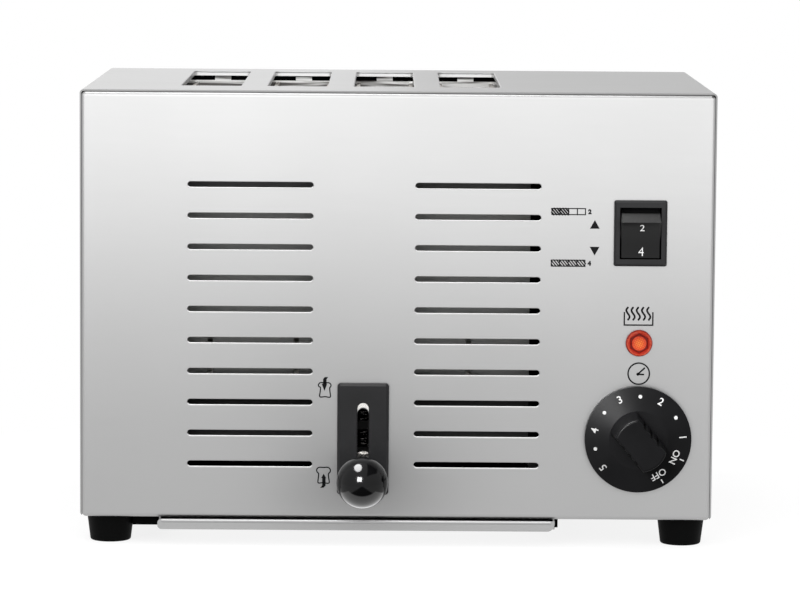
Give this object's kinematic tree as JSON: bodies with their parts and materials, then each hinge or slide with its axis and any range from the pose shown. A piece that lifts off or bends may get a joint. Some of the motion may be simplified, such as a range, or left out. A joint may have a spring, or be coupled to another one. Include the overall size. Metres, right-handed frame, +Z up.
{
  "type": "four-slot toaster",
  "caption": "Upright steel countertop toaster with bread slots in its top, a ball lever that lowers and lifts the bread, a timer dial, a rocker switch, a pilot lamp and a crumb tray.",
  "frame": {"origin": "on the surface the feet stand on, under the centre of the bounding box", "axes": "+X to the right of someone facing the controls, +Y to the back, +Z up; the front faces -Y"},
  "size_m": [0.312, 0.2745, 0.225],
  "materials": {
    "casing_steel": "satin stainless sheet",
    "chamber_steel": "plain galvanised sheet and wire",
    "plated_steel": "bright zinc plating",
    "heater_ribbon": "bare resistance ribbon",
    "mica": "pressed mica board",
    "black_plastic": "satin moulded plastic",
    "knob_black": "polished",
    "lamp_red": "translucent red-orange",
    "inner_plastic": "plain moulded",
    "rail_black": "black coat",
    "foot_rubber": "moulded"
  },
  "bodies": {
    "housing": {"casing": "casing_steel", "front_panel": "casing_steel", "rear_panel": "casing_steel", "base_plate": "chamber_steel", "inner_front_plate": "chamber_steel", "inner_rear_plate": "chamber_steel", "chamber_wall_left": "chamber_steel", "chamber_wall_right": "chamber_steel", "control_partition": "chamber_steel", "bread_guard_1": "chamber_steel", "bread_guard_2": "chamber_steel", "bread_guard_3": "chamber_steel", "bread_guard_4": "chamber_steel", "guide_bracket": "chamber_steel", "spring_anchor": "chamber_steel", "base_screws": "plated_steel", "guide_rods": "plated_steel", "return_spring": "plated_steel", "heater_ribbons": "heater_ribbon", "heater_board_1": "mica", "heater_board_2": "mica", "heater_board_3": "mica", "heater_board_4": "mica", "heater_board_5": "mica", "lever_escutcheon": "black_plastic", "switch_housing": "black_plastic", "cord_gland": "black_plastic", "pilot_lamp_lens": "lamp_red", "pilot_lamp_body": "inner_plastic", "timer_body": "inner_plastic", "terminal_block": "inner_plastic", "tray_rail_left": "rail_black", "tray_rail_right": "rail_black", "foot_front_left": "foot_rubber", "foot_front_right": "foot_rubber", "foot_rear_left": "foot_rubber", "foot_rear_right": "foot_rubber"},
    "carriage": {"carriage_plate": "chamber_steel", "lever_rod": "plated_steel", "lever_knob": "knob_black", "lever_washer": "plated_steel", "lever_nuts": "plated_steel", "guide_bushes": "inner_plastic", "bread_rack_1": "chamber_steel", "bread_rack_2": "chamber_steel", "bread_rack_3": "chamber_steel", "bread_rack_4": "chamber_steel", "rear_tie_bar": "chamber_steel"},
    "timer_dial": {"timer_knob": "black_plastic", "timer_shaft": "plated_steel"},
    "rocker": {"rocker_button": "black_plastic"},
    "tray": {"crumb_tray": "casing_steel"}
  },
  "joints": [
    {"name": "lever_slide", "type": "slide", "parent": "housing", "child": "carriage", "axis": [0, 0, 1], "range_m": [0, 0.028], "deforming": ["return_spring"]},
    {"name": "timer_turn", "type": "hinge", "parent": "housing", "child": "timer_dial", "pos_m": [0.119, -0.08475, 0.0547], "axis": [0, 1, 0], "range_deg": [-149, 129]},
    {"name": "rocker_tilt", "type": "hinge", "parent": "housing", "child": "rocker", "pos_m": [0.119, -0.07765, 0.1564], "axis": [-1, 0, 0], "range_deg": [0, 30]},
    {"name": "tray_slide", "type": "slide", "parent": "housing", "child": "tray", "axis": [0, -1, 0], "range_m": [0, 0.15]}
  ]
}
